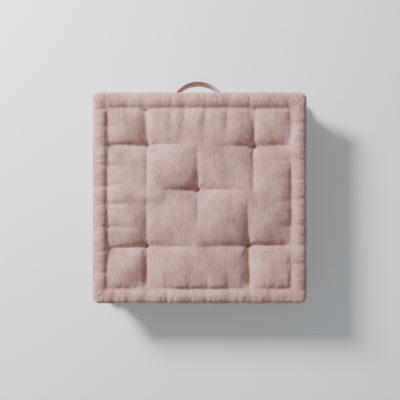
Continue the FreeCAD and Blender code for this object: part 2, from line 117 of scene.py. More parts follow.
# Pleats that run in from the edge stitches, in SIDES order.
PLEAT_DEPTH = (1.2, 0.8, 2.0, 1.8)
PLEAT_REACH = (22.0, 20.0, 42.0, 40.0)
CORNER_PLEAT_PLACE, CORNER_PLEAT_SHARE = 90, 0.2

# Where a stitch draws the roll in, along each side from its middle. Front and rear in X, the others in Y.
STITCHES = {
    "front": (-177, -145, -110, -68, -23, 13, 60, 105, 147, 180),
    "right": (-185, -137, -97, -58, -3, 40, 80, 114, 156, 185),
    "rear": (-184, -152, -116, -59, -31, 14, 59, 105, 145, 186),
    "left": (-185, -156, -110, -60, -14, 25, 69, 108, 149, 184),
}

# Valleys that run out of each tuft: (direction in degrees, length, depth at the tuft, depth at the end).
ARMS = {
    "rear_left": ((92, 88, 13, 7), (180, 84, 16, 11), (1, 90, 14, 1), (-90, 105, 12, 5)),
    "rear_right": ((88, 88, 12, 6), (1, 84, 16, 11), (180, 80, 12, 1), (-91, 100, 13, 3)),
    "centre": ((91, 92, 12, 3), (180, 82, 15, 2), (1, 88, 14, 3), (-90, 80, 12, 1)),
    "front_left": ((183, 84, 16, 11), (-91, 92, 16, 12), (0, 100, 13, 4), (90, 105, 12, 5)),
    "front_right": ((0, 92, 17, 12), (-88, 92, 17, 12), (181, 100, 14, 4), (91, 95, 14, 3)),
}
TUFTS = {
    name: (node_middle(f"tuft_tie_{name}", X), node_middle(f"tuft_tie_{name}", Y)) for name in ARMS
}
# A tuft's hollow is a wide funnel and a narrow one, each as (depth, reach, sharpness).
TUFT_FUNNELS = ((16.0, 16.0, 1.0), (15.0, 3.5, 1.5))
ARM_START, ARM_FADE = 8.0, 20.0
CREASE_DEPTH, CREASE_WIDTH, CREASE_WIDENS = 0.9, 8.0, 3.5
VALLEY_DEPTH, VALLEY_WIDTH = 0.75, 42.0

# The cloth run. Spare cloth is a share of its size; the side values are in SIDES order.
CLOTH_RUN = {
    "frames": 20,
    "quality": 6,
    "mass": 0.3,
    "tension": 60,
    "compression": 12,
    "shear": 3,
    "bending": 0.2,
    "damping": 10,
    "shear_damping": 5,
    "air_damping": 3,
    "spare_cloth": 0.12,
    "pressure": 3.0,
}
EDGE_SLACK = (0.7, 0.15, 0.5, 0.4)
EDGE_SLACK_REACH = 22.0
ROLL_SLACK = 0.35
TUFT_SLACK, TUFT_SLACK_REACH = 0.8, 22.0
PANEL_MOVE, ROLL_MOVE, ROLL_FACE_MOVE = 8.0, 2.2, 1.0
ROLL_FACE_RINGS = slice(6, 11)

# How firmly the run holds the cover. A pin of 1 is fast, and one under 0.1 is nearly free.
LINE_HOLD, LINE_HOLD_BY_DEPTH = 0.04, 0.02
PLEAT_HOLD, PLEAT_HOLD_REACH = 0.2, 40.0
HOLD_WIDTH = 6.0
TUFT_HELD = 3.5
GROOVE_HOLD, WALL_HOLD = 0.2, 0.15

# Creases too fine for the run, as depths.
DRAW_DEPTH = 2.8
DRAW_RAYS = ((0, 1.0), (-1, 0.55), (1, 0.5), (-2, 0.3), (2, 0.3))
ROLL_CREASES, ROLL_FINE_CREASES, ROLL_CREASE_LIMIT = 2.4, 1.5, 3.6
SEAM_CREASE = 0.6
CORNER_START, CORNER_REACH, CORNER_LIMIT = 9.0, 36.0, 4.5
# At each corner, as (side in X, side in Y): creases as (direction from outward X to outward Y, depth).
CORNER_CREASES = {
    (-1, 1): ((-12, 3.0), (22, 2.0), (62, 2.6), (88, 2.2)),
    (1, 1): ((116, 2.2), (66, 1.4), (35, 1.6), (8, 1.4)),
    (1, -1): ((5, 2.0), (36, 1.6), (62, 2.0), (80, 1.6), (98, 1.6)),
    (-1, -1): ((12, 1.6), (42, 1.6), (75, 2.4)),
}
TUFT_FOLDS, LINE_CREASE = 1.5, 0.16
PANEL_EDGE_FOLDS = (1.4, 1.1, 1.4, 1.1)
WALL_SWELL, WALL_CREASES, WALL_CREASE_LIMIT = 0.9, 0.8, 0.5

# Filling and twine.
BATTING_ROWS_IN, BATTING_BELOW, BATTING_LEAST, BATTING_GAP = 2, 5.0, 1.0, 0.5
BATTING_TOP = node_high("middle_batting", Z) + BATTING_GAP
BATTING_BOTTOM = node_low("middle_batting", Z) - BATTING_GAP
ROPE_RADIUS, ROPE_MITRE_GAP = ROLL - 6.5, 1.0
TWINE_RADIUS, TWINE_SINK, TWINE_DIP = 0.9, 0.3, 2.4
STITCH_LENGTH, STITCH_TURN_IN, STITCH_WALL_IN, STITCH_WALL_OUT = 7.0, 2, 3, 0.3

# The strap handle.
STRAP_X = node_middle("handle_strap", X)
STRAP_WIDTH = node_high("handle_strap", Z) - node_low("handle_strap", Z)
STRAP_CLOTH = 3.6
SEWN_END = 26.0
# Its middle line from above, as (length, turn in degrees): sewn end, foot, leg, crown, and the same back.
STRAP_BENDS = (
    (SEWN_END, 0.0),
    (17.5, 40.0),
    (21.9, 0.0),
    (83.8, -80.0),
    (21.9, 0.0),
    (17.5, 40.0),
    (SEWN_END, 0.0),
)
STRAP_STEP = 1.5
STRAP_SEAM_AT, STRAP_SEAM_WIDTH, STRAP_SEAM_DEPTH = 0.76, 0.06, 0.375
STRAP_LEAN = 0.24
# Half of the patch of the rear wall that lies flat behind the strap.
FLAT_HALF_X, FLAT_HALF_Z = 112, 19
THREAD_RADIUS, THREAD_STEP, THREAD_SUNK = 0.4, 3.2, 0.35
STITCH_BOX = (9.0, 8.5)

# Light and camera. A light is (place, size across, power), in metres and watts. The lens is in millimetres.
KEY_LIGHT = ((-1.5, 1.2, 1.15), 0.6, 122)
FILL_LIGHT = ((0.8, -0.6, 2.4), 2.0, 8)
LIGHT_TARGET = (0, 0, 0.05)
SKY_COLOUR, SKY_STRENGTH = (0.84, 0.96, 1.0, 1), 0.28
FLOOR_COLOUR, FLOOR_ROUGHNESS, FLOOR_HALF = (0.94, 0.94, 0.94, 1), 0.9, 4.0
CAMERA_PLACE = (0.0006, -0.0044, 1.2825)
CAMERA_LENS, CAMERA_SENSOR = 51.4, 36

# A rectangle's corners, counter-clockwise.
QUAD_CORNERS = ((-1, -1), (1, -1), (1, 1), (-1, 1))

# ---------------------------------------------------------------- places on the cushion


def along_and_in(x, y, side):
    """Distance along a side counter-clockwise from its middle, and in from the cushion's edge there."""
    return {
        0: (x, HALF_Y + y),
        1: (y, HALF_X - x),
        2: (-x, HALF_Y - y),
        3: (-y, HALF_X + x),
    }[side]


def past_side(x, y, side):
    """Distance in from the groove of one side, and negative out on its roll."""
    return along_and_in(x, y, side)[1] - 2 * ROLL - GROOVE_SHIFT[side]


def past_groove(x, y):
    """Distance in from the nearest groove, and negative out on the rolls."""
    return np.minimum.reduce([past_side(x, y, side) for side in range(4)])


def nearest_side_along(x, y):
    """Place along the nearest side."""
    return np.where(HALF_X - np.abs(x) < HALF_Y - np.abs(y), y, x)


def from_edge(x, y):
    """Distance in from the cushion's nearest edge."""
    return np.minimum(HALF_X - np.abs(x), HALF_Y - np.abs(y))


def side_places():
    """Every stitch as (side, place along the side counter-clockwise, from its middle)."""
    for side, name in enumerate(SIDES):
        flip = -1 if name in ("rear", "left") else 1
        for place in STITCHES[name]:
            yield side, flip * place


# ---------------------------------------------------------------- the cover's shape


def corner_radius(inset):
    """Radius of the cushion's corners at one inset from its edge."""
    return max(CORNER_LEAST, CORNER_RADIUS - CORNER_TIGHTENS * inset)


def loop_points(inset, shift=0.0):
    """A rounded square at one inset, as equal steps between its four mitres, from the front left corner.

    Where shift is 1, each side comes in further by its own share, as the hand-pinched rolls
    differ in width.
    """
    a, b, r = HALF_X - inset, HALF_Y - inset, corner_radius(inset)
    quarter = math.pi / 4 * r
    points = []
    for side in range(4):
        long_half, other_half = (a, b) if side % 2 == 0 else (b, a)
        straight = 2 * (long_half - r)
        total = straight + 2 * quarter
        for step in range(SIDE_CELLS):
            s = total * step / SIDE_CELLS
            if s < quarter:
                turn = math.pi / 4 - s / r
                u, v = -(long_half - r) - r * math.sin(turn), -(other_half - r) - r * math.cos(turn)
            elif s <= quarter + straight:
                u, v = -(long_half - r) + s - quarter, -other_half
            else:
                turn = (s - quarter - straight) / r
                u, v = (long_half - r) + r * math.sin(turn), -(other_half - r) - r * math.cos(turn)
            angle = side * math.pi / 2
            points.append(
                (
                    u * math.cos(angle) - v * math.sin(angle),
                    u * math.sin(angle) + v * math.cos(angle),
                )
            )
    points = np.array(points)
    front, right, rear, left = (shift * extra for extra in GROOVE_SHIFT)
    points[:, 0] *= 1 - np.where(points[:, 0] > 0, right, left) / a
    points[:, 1] *= 1 - np.where(points[:, 1] > 0, rear, front) / b
    return points


def profile():
    """Stations from the upper groove out over the roll, down the wall and in under the lower roll."""
    stations = []
    last = 360 - math.degrees(math.acos((WALL_INSET - ROLL) / ROLL))
    for step in range(CREST_CELLS):
        inward = 1 - step / CREST_CELLS
        drop = GROOVE_DROP * inward**2 + GROOVE_PLUNGE * inward**9
        stations.append((ROLL * (1 + inward), ROLL_Z + ROLL - drop))
    for step in range(ROLL_CELLS - CREST_CELLS + 1):
        angle = math.radians(90 + (last - 90) * step / (ROLL_CELLS - CREST_CELLS))
        square = ROLL_SQUARE if angle < math.pi else 1.0
        across = math.copysign(abs(math.cos(angle)) ** square, math.cos(angle))
        rise = math.copysign(abs(math.sin(angle)) ** square, math.sin(angle))
        stations.append((ROLL + ROLL * across, ROLL_Z + ROLL * rise))
    top_z = stations[-1][1]
    for step in range(1, WALL_CELLS):
        along = step / WALL_CELLS
        bulge = WALL_BULGE * math.sin(math.pi * along)
        stations.append((WALL_INSET - bulge, top_z + (HEIGHT - 2 * top_z) * along))
    lower = [(inset, HEIGHT - z) for inset, z in stations[: ROLL_CELLS + 1]]
    return stations + lower[::-1]


def arm_lines(x, y):
    """For each arm: how far along it each point is (0 to 1), how far off it, and its depth there."""
    for name, (tuft_x, tuft_y) in TUFTS.items():
        for direction, length, near_depth, far_depth in ARMS[name]:
            angle = math.radians(direction)
            along = (x - tuft_x) * math.cos(angle) + (y - tuft_y) * math.sin(angle)
            across = -(x - tuft_x) * math.sin(angle) + (y - tuft_y) * math.cos(angle)
            share = np.clip(along / length, 0, 1)
            depth = near_depth + (far_depth - near_depth) * share
            start = np.clip(along / ARM_START + 0.5, 0, 1)
            end = np.clip((length + ARM_FADE - along) / (2 * ARM_FADE), 0, 1)
            yield share, across, depth * start * start * (3 - 2 * start) * end * end * (3 - 2 * end)


def arm_hollow(x, y):
    """How far tension draws the crown down: sharp creases between rounded shoulders."""
    total = np.zeros_like(x)
    for share, across, depth in arm_lines(x, y):
        crease = CREASE_DEPTH * np.exp(-np.abs(across) / (CREASE_WIDTH + CREASE_WIDENS * share))
        valley = VALLEY_DEPTH * np.exp(-((across / VALLEY_WIDTH) ** 2))
        total += (depth * (crease + valley)) ** 3
    valleys = total ** (1 / 3)
    for tuft_x, tuft_y in TUFTS.values():
        reach = np.clip(np.hypot(x - tuft_x, y - tuft_y) - 1.0, 0, None)
        funnel = sum(depth * np.exp(-((reach / size) ** power)) for depth, size, power in TUFT_FUNNELS)
        valleys = (valleys**5 + funnel**5) ** 0.2
    return valleys


def stitch_hollow(x, y):
    """Short folds that run in from each stitch over the panel's edge, each a little different."""
    total = np.zeros_like(x)
    for number, (side, place) in enumerate(side_places()):
        along, _ = along_and_in(x, y, side)
        reach = PLEAT_REACH[side] * (0.6 + 0.6 * ((number * 7) % 5) / 4)
        strength = 1.0 if abs(place) < CORNER_PLEAT_PLACE else CORNER_PLEAT_SHARE
        depth = PLEAT_DEPTH[side] * (4.6 + 2.6 * ((number * 3) % 4) / 3) * strength
        lean = 0.12 * (((number * 5) % 7) / 3 - 1)
        inner = np.clip(past_side(x, y, side), 0, None)
        off = along - place - lean * inner
        total += depth * np.exp(-inner / reach) * np.exp(-np.abs(off) / (4.0 + 0.14 * inner))
    return total


def crown(x, y, groove_z):
    """Height of the panel, which rises from the groove and is drawn down along the tufts' lines."""
    rise = np.ones_like(x)
    for side, (length, step) in enumerate(zip(EDGE_RISE, EDGE_STEP)):
        edge = np.clip(past_side(x, y, side), 0, None)
        rise *= 1 - (1 - step) * np.exp(-edge / length) - step * np.exp(-edge / STEEP_RISE)
    rise = np.clip(rise, 0, 1)
    hollow = arm_hollow(x, y) + stitch_hollow(x, y)
    return groove_z + (HEIGHT + CROWN - groove_z) * rise - hollow * rise**0.5


def panel_grid(border):
    """The border loop filled in with a grid: rows from the front, columns from the left."""
    n = SIDE_CELLS
    front, right = border[0 : n + 1], border[n : 2 * n + 1]
    rear = border[2 * n : 3 * n + 1][::-1]
    left = np.vstack([border[3 * n :], border[:1]])[::-1]
    t = np.linspace(0, 1, n + 1)
    u, v = np.meshgrid(t, t)
    return (
        (1 - v)[..., None] * front[None]
        + v[..., None] * rear[None]
        + (1 - u)[..., None] * left[:, None]
        + u[..., None] * right[:, None]
        - ((1 - u) * (1 - v))[..., None] * front[0]
        - (u * (1 - v))[..., None] * front[-1]
        - ((1 - u) * v)[..., None] * rear[0]
        - (u * v)[..., None] * rear[-1]
    )


def grid_border():
    """Row and column of each border point, in the order of a loop."""
    n = SIDE_CELLS
    front = [(0, k) for k in range(n)]
    right = [(k, n) for k in range(n)]
    rear = [(n, n - k) for k in range(n)]
    left = [(n - k, 0) for k in range(n)]
    return front + right + rear + left


def cover_mesh():
    """Points and faces of the whole cover, each face's zone, and the index of each ring and panel point."""
    stations = profile()
    rings = []
    for number, (inset, _) in enumerate(stations):
        from_groove = min(number, LAST_RING - number)
        rings.append(loop_points(inset, max(0.0, 1 - from_groove / CREST_CELLS) ** 1.5))
    count = 4 * SIDE_CELLS
    points, faces, zones = [], [], []
    ring_index = np.zeros((len(stations), count), int)
    for number, ((_, z), ring) in enumerate(zip(stations, rings)):
        ring_index[number] = np.arange(count) + len(points)
        points += [(x, y, z) for x, y in ring]
    for number in range(LAST_RING):
        for k in range(count):
            nxt = (k + 1) % count
            upper, lower = ring_index[number], ring_index[number + 1]
            faces.append((upper[k], lower[k], lower[nxt], upper[nxt]))
            zones.append((number, k // SIDE_CELLS))
    panels = {}
    for name, ring, sign in (("top", 0, 1), ("bottom", LAST_RING, -1)):
        grid = panel_grid(rings[ring])
        height = crown(grid[..., 0], grid[..., 1], stations[0][1])
        height = height if sign > 0 else HEIGHT - height
        index = np.full(grid.shape[:2], -1)
        for (row, column), point in zip(grid_border(), ring_index[ring]):
            index[row, column] = point
        for row in range(1, SIDE_CELLS):
            for column in range(1, SIDE_CELLS):
                index[row, column] = len(points)
                points.append((*grid[row, column], height[row, column]))
        for row in range(SIDE_CELLS):
            for column in range(SIDE_CELLS):
                corners = (
                    index[row, column],
                    index[row, column + 1],
                    index[row + 1, column + 1],
                    index[row + 1, column],
                )
                faces.append(corners if sign > 0 else corners[::-1])
                zones.append((name, 0))
        panels[name] = index
    return np.array(points, float), faces, zones, ring_index, panels


def stitch_columns():
    """The loop index of every stitch, corners left out."""
    found = set()
    for side, place in side_places():
        half = (HALF_X if side % 2 == 0 else HALF_Y) - 2 * ROLL
        share = (place + half) / (2 * half)
        found.add(side * SIDE_CELLS + int(round(share * SIDE_CELLS)))
    return sorted(k for k in found if k % SIDE_CELLS not in (0, 1, SIDE_CELLS - 1))


def make_object(name, points, faces, smooth=True):
    """A mesh object from points in millimetres."""
    corners = [tuple(point) for point in np.asarray(points) * MM]
    mesh = bpy.data.meshes.new(name)
    mesh.from_pydata(corners, [], [tuple(map(int, face)) for face in faces])
    mesh.update()
    if smooth:
        mesh.shade_smooth()
    obj = bpy.data.objects.new(name, mesh)
    bpy.context.scene.collection.objects.link(obj)
    return obj


def simulate(points, faces, pins, slack, caps):
    """Blows the cover up as cloth and gives the settled points, none of them moved past its cap.

    The pins hold it, and it has spare cloth where slack is 1. There is no gravity in the run.
    """
    obj = make_object("cloth_run", points, faces)
    held = obj.vertex_groups.new(name="pins")
    for index, weight in pins.items():
        held.add([int(index)], float(weight), "REPLACE")
    spare = obj.vertex_groups.new(name="slack")
    for index in np.flatnonzero(slack > 0.01):
        spare.add([int(index)], float(slack[index]), "REPLACE")
    cloth = obj.modifiers.new("cloth", "CLOTH")
    settings = cloth.settings
    settings.quality = CLOTH_RUN["quality"]
    settings.mass = CLOTH_RUN["mass"]
    settings.tension_stiffness = CLOTH_RUN["tension"]
    settings.compression_stiffness = CLOTH_RUN["compression"]
    settings.shear_stiffness = CLOTH_RUN["shear"]
    settings.bending_stiffness = CLOTH_RUN["bending"]
    settings.tension_damping = CLOTH_RUN["damping"]
    settings.compression_damping = CLOTH_RUN["damping"]
    settings.shear_damping = CLOTH_RUN["shear_damping"]
    settings.air_damping = CLOTH_RUN["air_damping"]
    settings.shrink_min = 0.0
    settings.shrink_max = -CLOTH_RUN["spare_cloth"]
    settings.vertex_group_shrink = "slack"
    settings.use_pressure = True
    settings.uniform_pressure_force = CLOTH_RUN["pressure"]
    settings.vertex_group_mass = "pins"
    settings.pin_stiffness = 1.0
    settings.effector_weights.gravity = 0
    cloth.collision_settings.use_collision = False
    scene = bpy.context.scene
    frames = CLOTH_RUN["frames"]
    scene.frame_start, scene.frame_end = 1, frames
    cloth.point_cache.frame_start, cloth.point_cache.frame_end = 1, frames
    for number in range(1, frames + 1):
        scene.frame_set(number)
    settled = obj.evaluated_get(bpy.context.evaluated_depsgraph_get())
    co = np.zeros(len(points) * 3)
    settled.data.vertices.foreach_get("co", co)
    shift = co.reshape(-1, 3) / MM - points
    bpy.data.objects.remove(obj)
    scene.frame_set(1)
    far = np.linalg.norm(shift, axis=1)
    return points + shift * np.minimum(1, caps / np.maximum(far, 1e-6))[:, None]


def cover_pins(points, ring_index, panels):
    """What holds the cover: stitches and tufts fast, and the tufts' tension lines a little."""
    pins = {}
    for panel in panels.values():
        inner = panel[1:-1, 1:-1].ravel()
        x, y = points[inner, 0], points[inner, 1]
        pull = np.zeros(len(inner))
        for _, across, depth in arm_lines(x, y):
            hold = (LINE_HOLD + LINE_HOLD_BY_DEPTH * depth) * np.exp(-np.abs(across) / HOLD_WIDTH)
            pull = np.maximum(pull, hold * (depth > 0.3))
        for side, place in side_places():
            along, _ = along_and_in(x, y, side)
            hold = PLEAT_HOLD * np.exp(-np.abs(along - place) / HOLD_WIDTH)
            pull = np.maximum(pull, hold * np.exp(-past_side(x, y, side) / PLEAT_HOLD_REACH))
        for index, weight in zip(inner, pull):
            if weight > LINE_HOLD:
                pins[index] = weight
        for tuft_x, tuft_y in TUFTS.values():
            for index in inner[np.hypot(x - tuft_x, y - tuft_y) < TUFT_HELD]:
                pins[index] = 1.0
    for k in stitch_columns():
        for ring in (0, ROLL_CELLS, LAST_RING - ROLL_CELLS, LAST_RING):
            pins[ring_index[ring][k]] = 1.0
    for ring, hold in (
        (0, GROOVE_HOLD),
        (LAST_RING, GROOVE_HOLD),
        (ROLL_CELLS, WALL_HOLD),
        (LAST_RING - ROLL_CELLS, WALL_HOLD),
    ):
        for index in ring_index[ring]:
            pins.setdefault(index, hold)
    return pins


def spare_and_caps(points, ring_index):
    """At each point, how much spare cloth it has (0 to 1) and how far the run may move it."""
    spare = np.zeros(len(points))
    for side, most in enumerate(EDGE_SLACK):
        past = past_side(points[:, 0], points[:, 1], side)
        spare = np.maximum(spare, most * np.clip(1.4 - past / EDGE_SLACK_REACH, 0, 1))
    spare[ring_index.ravel()] = ROLL_SLACK
    for tuft_x, tuft_y in TUFTS.values():
        away = np.hypot(points[:, 0] - tuft_x, points[:, 1] - tuft_y)
        spare = np.maximum(spare, TUFT_SLACK * np.exp(-((away / TUFT_SLACK_REACH) ** 2)))
    caps = np.full(len(points), PANEL_MOVE)
    caps[ring_index.ravel()] = ROLL_MOVE
    caps[ring_index[ROLL_FACE_RINGS].ravel()] = ROLL_FACE_MOVE
    return spare, caps


# ---------------------------------------------------------------- folds too fine for the cloth run


def lattice(ix, iy, seed):
    """A repeatable random number from 0 to 1 at each whole step."""
    mixed = np.sin(ix * 127.1 + iy * 311.7 + seed * 74.7) * 43758.5453
    return mixed - np.floor(mixed)


def noise(u, v, seed):
    """Smooth noise from -1 to 1."""
    iu, iv = np.floor(u), np.floor(v)
    fu, fv = u - iu, v - iv
    fu, fv = fu * fu * (3 - 2 * fu), fv * fv * (3 - 2 * fv)
    low = lattice(iu, iv, seed) * (1 - fu) + lattice(iu + 1, iv, seed) * fu
    high = lattice(iu, iv + 1, seed) * (1 - fu) + lattice(iu + 1, iv + 1, seed) * fu
    return 2 * (low * (1 - fv) + high * fv) - 1


def folds(u, v, seed):
    """Noise with sharp valleys, as in creased cloth, from -1 to 0."""
    return -((1 - np.abs(noise(u, v, seed))) ** 3)


def roll_folds(x, y, turn):
    """Creases across a roll. turn goes from 0 in the groove to 1 at the wall."""
    total = np.zeros_like(x)
    for number, (side, place) in enumerate(side_places()):
        along, inset = along_and_in(x, y, side)
        here = (inset < 2 * ROLL + 6) & (inset <= from_edge(x, y) + 1)
        lean = 9.0 * (lattice(number, 3, 1.0) - 0.5)
        for ray, strength in DRAW_RAYS:
            spread = 6.5 + 3.0 * lattice(number, ray + 9, 2.0)
            off = along - place - lean * turn - ray * spread * (0.15 + turn)
            depth = DRAW_DEPTH * strength * (0.4 + lattice(number, ray + 5, 4.0))
            depth = depth * (0.25 + 0.75 * np.clip((turn - 0.08) / 0.25, 0, 1))
            width = 1.6 + 2.4 * turn
            total -= np.where(here, depth * np.exp(-np.abs(off) / width) * (1 - 0.6 * turn), 0)
    along = nearest_side_along(x, y)
    fine = folds(along / 7.0 + turn * 1.2, turn * 1.6 + (x + y) / 260, 5.0)
    finer = folds(along / 3.8 - turn, turn * 2.5, 6.0)
    mask = 0.5 + 0.5 * noise(along / 35.0, turn * 2, 8.0)
    outermost = np.exp(-(((turn - OUTERMOST_TURN) / 0.15) ** 2))
    near_groove = np.clip((turn - 0.15) / 0.25, 0.2, 1)
    past_crest = 1 - 0.5 * np.clip((turn - 0.4) / 0.15, 0, 1)
    creases = ROLL_CREASES * fine * mask + ROLL_FINE_CREASES * finer * (1 - 0.6 * mask)
    total = total + creases * near_groove * past_crest
    seam = np.exp(-(((turn - SEAM_TURN) / 0.03) ** 2))
    pucker = 0.6 + 0.4 * noise(along / 5.0, turn, 9.0)
    return np.maximum(total, -ROLL_CREASE_LIMIT) * (1 - 0.8 * outermost) - SEAM_CREASE * seam * pucker


def corner_folds(x, y):
    """Creases that fan out over the roll from each of the groove's corners."""
    total = np.zeros_like(x)
    for (side_x, side_y), creases in CORNER_CREASES.items():
        dx = side_x * x - (HALF_X - 2 * ROLL - GROOVE_SHIFT[1 if side_x > 0 else 3])
        dy = side_y * y - (HALF_Y - 2 * ROLL - GROOVE_SHIFT[2 if side_y > 0 else 0])
        reach = np.hypot(dx, dy)
        fade = np.clip(1.4 - reach / CORNER_REACH, 0, 1) * np.clip(reach / CORNER_START, 0, 1)
        for number, (direction, depth) in enumerate(creases):
            row = np.full_like(x, 7.3 * number + side_x + 3.0 * side_y)
            wander = 0.2 * noise(reach / 14.0, row, 11.0)
            bend = math.radians(direction) + wander
            along = dx * np.cos(bend) + dy * np.sin(bend)
            across = -dx * np.sin(bend) + dy * np.cos(bend)
            total -= (along > 0) * fade * depth * np.exp(-np.abs(across) / (1.7 + 0.05 * reach))
    return total


def panel_folds(x, y):
    """Small folds of the panel: out from the tufts and in from its edges."""
    total = np.zeros_like(x)
    for number, (tuft_x, tuft_y) in enumerate(TUFTS.values()):
        reach = np.hypot(x - tuft_x, y - tuft_y)
        angle = np.arctan2(y - tuft_y, x - tuft_x)
        fan = folds(angle * 3.5 + 40, number * 5.0 + reach / 70, 21.0)
        total += TUFT_FOLDS * fan * np.exp(-(((reach - 12) / 15.0) ** 2))
    for _, across, depth in arm_lines(x, y):
        total -= LINE_CREASE * depth * np.exp(-np.abs(across) / 2.0)
    for side, amount in enumerate(PANEL_EDGE_FOLDS):
        along, _ = along_and_in(x, y, side)
        inner = past_side(x, y, side)
        edge_folds = folds(along / 12.0, inner / 90.0 + 3 * side, 23.0)
        total += amount * edge_folds * np.exp(-inner / 24.0) * np.clip(inner / 4, 0, 1)
    total += 0.8 * noise(x / 34.0, y / 30.0, 25.0) + 0.35 * noise(x / 12.0, y / 15.0, 26.0)
    return total


def fine_shift(rest):
    """How far each point moves out along its normal, from its place before the cloth run."""
    x, y, z = rest.T
    inset = from_edge(x, y)
    height = np.where(z > HEIGHT / 2, z, HEIGHT - z)
    past = past_groove(x, y)
    on_roll = (past < -0.6) & (height > ROLL_Z - ROLL - 1)
    angle = np.arctan2(height - ROLL_Z, inset - ROLL)
    angle = np.where(angle < -0.35, angle + 2 * math.pi, angle)
    turn = np.clip(angle / math.radians(ROLL_ARC), 0, 1)
    on_wall = (past < -2) & ~on_roll
    flip = np.where(z > HEIGHT / 2, 1.0, -1.0)
    roll_shift = np.maximum(roll_folds(x, y * flip, turn) + corner_folds(x, y), -CORNER_LIMIT)
    shift = np.where(on_roll, roll_shift, 0)
    shift = np.where(~on_roll & ~on_wall, panel_folds(x, y), shift)
    along = nearest_side_along(x, y)
    wall = WALL_SWELL * noise(along / 16.0, z / 30.0, 31.0)
    wall = wall + WALL_CREASES * folds(along / 21.0 + z / 80, z / 60.0, 32.0)
    return np.where(on_wall, np.maximum(wall, -WALL_CREASE_LIMIT), shift)


def zone_number(zone):
    """Which piece of cloth a face belongs to."""
    place, side = zone
    if place in ("top", "bottom"):
        return 0 if place == "top" else 1
    if place < SEAM_RING:
        return 0
    if place >= LAST_RING - SEAM_RING:
        return 1
    return 2 + side


def fine_cover(points, rest_points, faces, zones):
    """The settled cover split finer: points, normals, rest places, faces and each face's piece."""
    obj = make_object("coarse", points, faces)
    attribute = obj.data.attributes.new("rest", "FLOAT_VECTOR", "POINT")
    attribute.data.foreach_set("vector", rest_points.ravel())
    for _ in ZONES:
        obj.data.materials.append(None)
    obj.data.polygons.foreach_set("material_index", [zone_number(zone) for zone in zones])
    split = obj.modifiers.new("split", "SUBSURF")
    split.levels = split.render_levels = 1
    split.boundary_smooth = "PRESERVE_CORNERS"
    fine = bpy.data.meshes.new_from_object(obj.evaluated_get(bpy.context.evaluated_depsgraph_get()))
    bpy.data.objects.remove(obj)
    count = len(fine.vertices)
    co, normal, rest = (np.zeros(count * 3) for _ in range(3))
    fine.vertices.foreach_get("co", co)
    fine.vertices.foreach_get("normal", normal)
    fine.attributes["rest"].data.foreach_get("vector", rest)
    quads = np.zeros(len(fine.polygons) * 4, int)
    fine.loops.foreach_get("vertex_index", quads)
    piece = np.zeros(len(fine.polygons), int)
    fine.polygons.foreach_get("material_index", piece)
    return co.reshape(-1, 3) / MM, normal.reshape(-1, 3), rest.reshape(-1, 3), quads.reshape(-1, 4), piece


def rest_on_floor(cloth, soft=3.0):
    """Flattens what would sink through the floor, so the cushion's weight rests on it."""
    low = cloth[:, 2] < soft
    cloth[low, 2] = soft * np.exp((cloth[low, 2] - soft) / soft)


def flatten_behind_strap(cloth):
    """Flattens the rear wall where the strap's ends are sewn to it."""
    x, y, z = cloth.T
    off_x, off_z = np.abs(x - STRAP_X), np.abs(z - HEIGHT / 2)
    near = np.clip((FLAT_HALF_X - off_x) / 12, 0, 1) * np.clip((FLAT_HALF_Z - off_z) / 4, 0, 1)
    is_wall = (y > HALF_Y - 20) & (off_z < FLAT_HALF_Z)
    limit = HALF_Y - WALL_INSET - 0.2
    cloth[:, 1] = np.where(is_wall & (y > limit), y * (1 - near) + limit * near, y)


rest_points, faces, zones, ring_index, panels = cover_mesh()
points = rest_points
slack, caps = spare_and_caps(points, ring_index)
points = simulate(points, faces, cover_pins(points, ring_index, panels), slack, caps)
fine, normals, rest, quads, piece_of = fine_cover(points, rest_points, faces, zones)
fine = fine + normals * fine_shift(rest)[:, None]
rest_on_floor(fine)
flatten_behind_strap(fine)


# ---------------------------------------------------------------- materials


def node_maker(material):
    """A short way to add a node with its settings and inputs."""
    tree = material.node_tree

    def add(kind, inputs=None, **settings):
        node = tree.nodes.new(kind)
        for name, value in settings.items():
            setattr(node, name, value)
        for name, value in (inputs or {}).items():
            if isinstance(value, bpy.types.NodeSocket):
                tree.links.new(value, node.inputs[name])
            else:
                node.inputs[name].default_value = value
        return node

    return add


